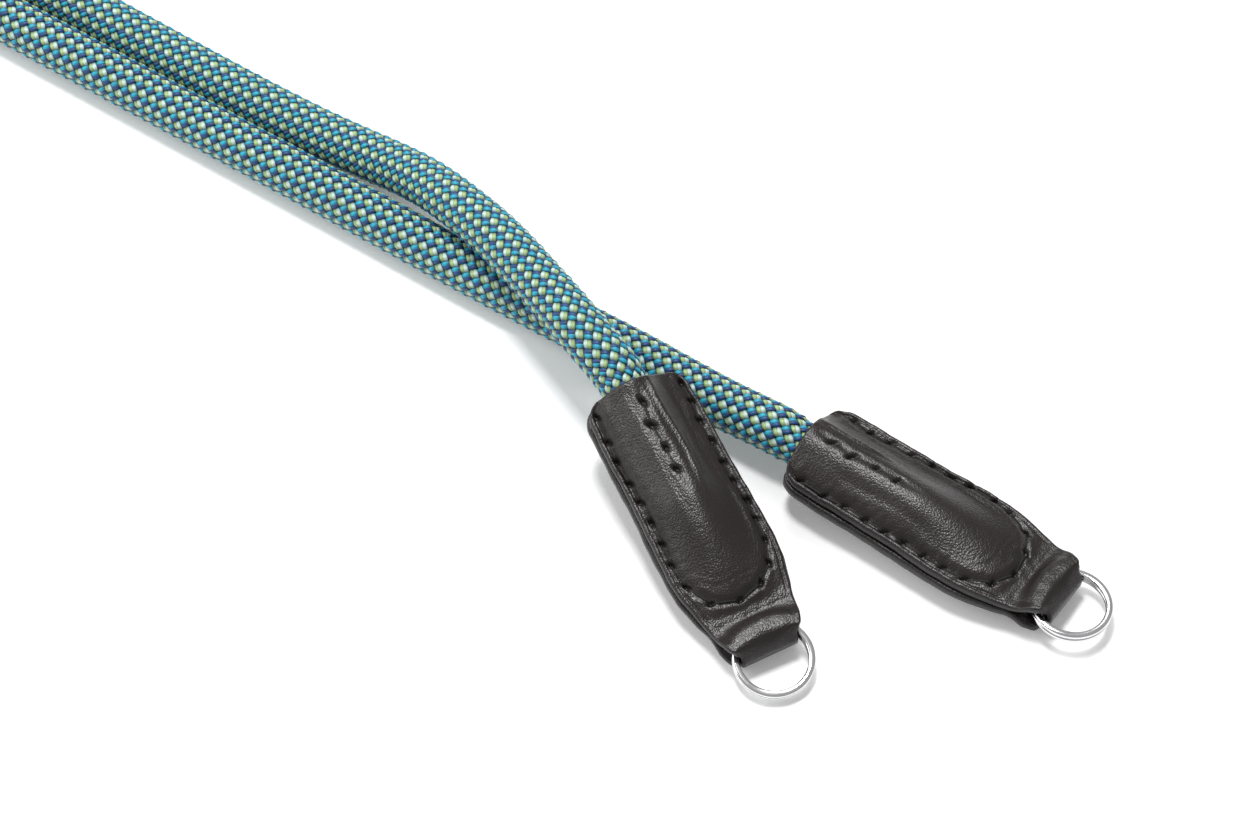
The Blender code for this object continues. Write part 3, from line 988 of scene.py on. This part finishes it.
def flat_stations(letter, front, pitch):
    """Stations of the flat layer from the mouth to the fold."""
    sign = 1 if front else -1
    rest = np.arange(FIRST_PLAIN_STATION, FOLD[0, 0], pitch)
    stations = []
    for i, u in enumerate([*MOUTH_STATIONS, *rest]):
        half = float(half_at(letter, u, sign))
        v = columns_across(half)
        along = np.full_like(v, u)
        outside = flat_outside(letter, along, v, half, front)
        inside = flat_inside(along, v, front)
        taper = MOUTH_ROUNDING[i] if i < len(MOUTH_ROUNDING) else 0.0
        middle = (outside + inside) / 2
        outside = outside + (middle - outside) * taper
        inside = inside + (middle - inside) * taper
        v = v * (1 - 0.03 * taper)
        outer = np.column_stack([along, v, sign * outside])
        inner = np.column_stack([along, v, sign * inside])
        stations.append(strip_station(outer, inner))
    return stations


def fold_half(letter, u, side):
    """Half the strip's width round the ring, where the fold narrows it."""
    narrow = FOLD_HALF + 1.2 * np.clip((56.2 - u) / 1.2, 0, 1) + 3.0 * max(0.0, 55.0 - u)
    return min(float(half_at(letter, min(u, FOLD_END), side)), float(narrow))


def fold_stations(letter):
    """Stations of the strip round the ring, from the front layer to the back one."""
    table = np.vstack([FOLD, FOLD[-2::-1] * (1, -1, 1, -1)])
    fine = flat_curve(table[:, :2], 4)[1:-1]
    fine_in = flat_curve(table[:, 2:], 4)[1:-1]
    ring = RING_RADIUS / MM
    stations = []
    for (u, w), (u_in, w_in) in zip(fine, fine_in):
        v = columns_across(fold_half(letter, u, 1 if w > 0 else -1))
        arc = 0.42 * (ring - np.sqrt(np.clip(ring**2 - np.clip(v, -6.4, 6.4) ** 2, 0.5, None)))
        bent = arc * rising(u, 48.6, 2.5) * (1 - rising(u, 52.5, 4.0))
        along = u + bent
        inside = u_in + bent + 0.45 * soft_step(np.abs(v) / 5.8) * rising(u_in, 53.5, 2.0)
        lumps = 0.03 * np.sin(v * 1.1 + u) + 0.02 * np.sin(v * 2.3 - 0.5 * u)
        if w < 0:
            w = w * (1 - BACK_FLATTENING * float(rising(u, 50.0, 2.5)))
        over = w + np.sign(w) * lumps * falling(u, 57.2, 2.0)
        outer = np.column_stack([along, v, over])
        inner = np.column_stack([inside, v, np.full_like(v, w_in)])
        stations.append(strip_station(outer, inner))
    return stations


def strip_end(first, columns, across):
    """Faces that close one end of the strip, from its outside to its inside. first is the index of
    the end row's first point, and across is how many points its outside has."""
    to_tip = len(EDGE_ROW) // 2
    left = np.arange(columns - to_tip - 1, columns)
    outer = first + np.concatenate([left, np.arange(across + to_tip + 1)])
    top = outer[1:-1]
    bottom = (outer[-1] + 1 + np.arange(len(top)))[::-1]
    quads = np.stack([top[:-1], top[1:], bottom[1:], bottom[:-1]], axis=-1).tolist()
    return [[outer[0], top[0], bottom[0]], [top[-1], outer[-1], bottom[-1]], *quads]


def painted_pit_shade_mask(letter, points):
    """How deep in a stitch hole or in the seam's groove each point of the outside is, which sets the
    shade painted there.
    """
    u = points[..., 0]
    v = points[..., 1]
    pit = dimples(SEAMS[letter], u, v, SEAM_PAINTED_SHADE_SIZE)
    pit = np.maximum(pit, dimples(MIDDLE_ROWS[letter], u, v, MIDDLE_PAINTED_SHADE_SIZE))
    seam = seam_distance(seam_line(letter), u, v)
    pit = np.maximum(pit, 0.50 * ridge(seam, 0.26) * (u > 2.0))
    return soft_step(pit * 1.5 - 0.25)


def add_tab(letter, frame, material):
    """One strip of leather folded round the ring, laid on itself and stitched over the rope."""
    front = flat_stations(letter, True, FRONT_PITCH)
    back = flat_stations(letter, False, BACK_PITCH)
    stations = np.array(front + fold_stations(letter) + back[::-1])
    rows, columns = stations.shape[:2]
    across = len(NEAR_EDGE) * 2 + PLAIN_COLUMNS
    edge = len(EDGE_ROW)
    faces = grid_faces(rows, columns, 0, True).tolist()
    faces.extend(strip_end(0, columns, across))
    faces.extend(face[::-1] for face in strip_end((rows - 1) * columns, columns, across))
    points = stations.reshape(-1, 3) * MM
    tab = new_piece(f"leather_strip_{letter}", points, faces, material, place=frame)
    cut = np.zeros((rows, columns))
    cut[:, across : across + edge] = 1.0
    cut[:, 2 * across + edge :] = 1.0
    cut[0] = 1.0
    cut[-1] = 1.0
    add_attribute(tab, "cut_edge", cut.ravel())
    # The painted shade in the holes and groove, on the outside only
    pit = painted_pit_shade_mask(letter, stations)
    pit[:, across:] = 0.0
    add_attribute(tab, "pit", pit.ravel())
    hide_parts(f"leather_tab_{letter}")
    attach(tab, "strap")


def stitch(letter, first, second, front):
    """Points round the thread from one hole to the next, and their place on its surface."""
    sign = 1 if front else -1
    share = np.linspace(STITCH_START, 1 - STITCH_START, STITCH_SPANS)
    from_middle = np.abs(2 * share - 1)
    u = first[0] + (second[0] - first[0]) * share
    v = first[1] + (second[1] - first[1]) * share
    surface = flat_outside(letter, u, v, half_at(letter, u, sign), front)
    ends = (share[0], share[-1])
    middle = np.interp(share, (share[0], 0.5, share[-1]), (0.0, 1.0, 0.0))
    plain = np.interp(share, ends, (surface[1], surface[-2]))
    height = np.minimum(surface, plain + 0.2 * middle) + STITCH_LIFT - STITCH_DIVE * from_middle**6
    line = np.column_stack([u, v, sign * height])
    thick = THREAD_RADIUS * (1 - 0.25 * from_middle**4)
    heading = np.array((second[0] - first[0], second[1] - first[1], 0.0))
    length = np.linalg.norm(heading)
    side = np.cross(heading / length, (0, 0, 1))
    points = []
    uv = []
    for turn in range(THREAD_SIDES):
        angle = 2 * math.pi * turn / THREAD_SIDES
        out = math.cos(angle) * side + math.sin(angle) * np.array((0, 0, THREAD_FLATNESS))
        points.append(line + thick[:, None] * out)
        round_thread = np.full(STITCH_SPANS, turn / THREAD_SIDES * 2)
        uv.append(np.column_stack([share * length * 2.2, round_thread]))
    return np.concatenate(points), np.concatenate(uv)


def add_stitches(letter, frame, material):
    """The thread between the holes, on the front and on the back."""
    size = THREAD_SIDES * STITCH_SPANS
    rim = np.arange(THREAD_SIDES) * STITCH_SPANS
    tube = grid_faces(THREAD_SIDES + 1, STITCH_SPANS) % size
    far_cap = cap_faces(rim + STITCH_SPANS - 1)
    closed_tube = np.concatenate([tube[:, ::-1], cap_faces(rim), far_cap[:, ::-1]])
    points = []
    faces = []
    uv = []
    for front in (True, False):
        for row in (SEAMS[letter], MIDDLE_ROWS[letter]):
            for first, second in zip(row, row[1:]):
                stitch_points, stitch_uv = stitch(letter, first, second, front)
                faces.append(closed_tube + len(points) * size)
                points.append(stitch_points)
                uv.append(stitch_uv)
    thread = new_piece(
        f"stitches_{letter}",
        np.concatenate(points) * MM,
        np.concatenate(faces),
        material,
        "thread",
        np.concatenate(uv),
        place=frame,
    )
    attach(thread, "strap")


# Split rings


def add_ring(letter, frame, material):
    """A flat wire with rounded corners, wound nearly twice round."""
    level = (WIRE_THICKNESS + TURN_GAP) / 2
    start = 180 + STEP_ANGLE / 2
    sides = WIRE_SIDES
    angle = np.arange(0, 720 - STEP_ANGLE + 1, WIRE_POINT_ANGLE)
    climb = rising(angle, 360 - STEP_ANGLE, STEP_ANGLE)
    height = level * (2 * climb - 1)
    turn = np.radians(start + angle)
    around = np.radians(np.arange(sides) * 360 / sides + 360 / sides / 2)
    corner = np.abs(np.cos(around)) ** 4 + np.abs(np.sin(around)) ** 4
    size = corner ** (-1 / 4)
    wide = np.cos(around) * size * WIRE_WIDTH / 2
    tall = np.sin(around) * size * WIRE_THICKNESS / 2
    shrink = np.ones(len(angle))
    shrink[[0, -1]] = WIRE_END_SHARE
    reach = RING_RADIUS + wide[None, :] * shrink[:, None]
    x = reach * np.cos(turn)[:, None]
    y = reach * np.sin(turn)[:, None]
    z = height[:, None] + tall[None, :] * shrink[:, None]
    points = np.stack([x, y, z], axis=-1).reshape(-1, 3)
    rim = np.arange(sides)
    far_cap = cap_faces((len(angle) - 1) * sides + rim)
    faces = [grid_faces(len(angle), sides, 0, True), cap_faces(rim), far_cap[:, ::-1]]
    place = frame @ Matrix.Translation((TAB_LENGTH + RING_BEYOND_FOLD, 0, 0))
    ring = new_piece(f"ring_wire_{letter}", points, np.concatenate(faces), material, place=place)
    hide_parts(f"split_ring_{letter}")
    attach(ring, f"ring_{letter}")


# Floor and light


def camera_ground(right, away, up):
    """A direction given by the camera's own right and away along the floor."""
    turn = math.radians(CAMERA_AZIMUTH)
    x = right * math.cos(turn) - away * math.sin(turn)
    y = right * math.sin(turn) + away * math.cos(turn)
    return Vector((x, y, up))


def add_area_light(name, direction, size, energy):
    light = bpy.data.lights.new(name, "AREA")
    light.energy = energy
    light.size = size
    lamp = bpy.data.objects.new(name, light)
    direction = direction.normalized()
    lamp.location = LOOK_AT + direction * LIGHT_DISTANCE
    lamp.rotation_mode = "QUATERNION"
    lamp.rotation_quaternion = direction.to_track_quat("Z", "Y")
    bpy.context.scene.collection.objects.link(lamp)


def add_stage():
    mesh = bpy.data.meshes.new("floor")
    corners = [(x * FLOOR_HALF, y * FLOOR_HALF, 0) for x, y in ((-1, -1), (1, -1), (1, 1), (-1, 1))]
    mesh.from_pydata(corners, [], [(0, 1, 2, 3)])
    floor = bpy.data.objects.new("floor", mesh)
    material, nodes, links = new_material("floor")
    shader = nodes["Principled BSDF"]
    shader.inputs["Base Color"].default_value = (0.9, 0.9, 0.9, 1)
    shader.inputs["Roughness"].default_value = 0.5
    shader.inputs["Emission Color"].default_value = (1, 1, 1, 1)
    shader.inputs["Emission Strength"].default_value = FLOOR_GLOW
    mesh.materials.append(material)
    bpy.context.scene.collection.objects.link(floor)
    world = bpy.data.worlds.new("studio")
    world.use_nodes = True
    background = world.node_tree.nodes["Background"]
    background.inputs["Color"].default_value = (1, 1, 1, 1)
    background.inputs["Strength"].default_value = WORLD_STRENGTH
    bpy.context.scene.world = world
    bpy.context.scene.view_settings.view_transform = "Standard"
    for name, direction, size, energy in LIGHTS:
        add_area_light(name, camera_ground(*direction), size, energy)


def main():
    add_camera()
    add_stage()
    frame_a = tab_matrix(TABS["a"])
    frame_b = tab_matrix(TABS["b"])
    add_rope(frame_a, frame_b)
    thread = thread_material()
    steel = steel_material()
    for letter, tab_frame in (("a", frame_a), ("b", frame_b)):
        add_tab(letter, tab_frame, leather_material(f"dark leather {letter}"))
        add_stitches(letter, tab_frame, thread)
        add_ring(letter, tab_frame, steel)


main()
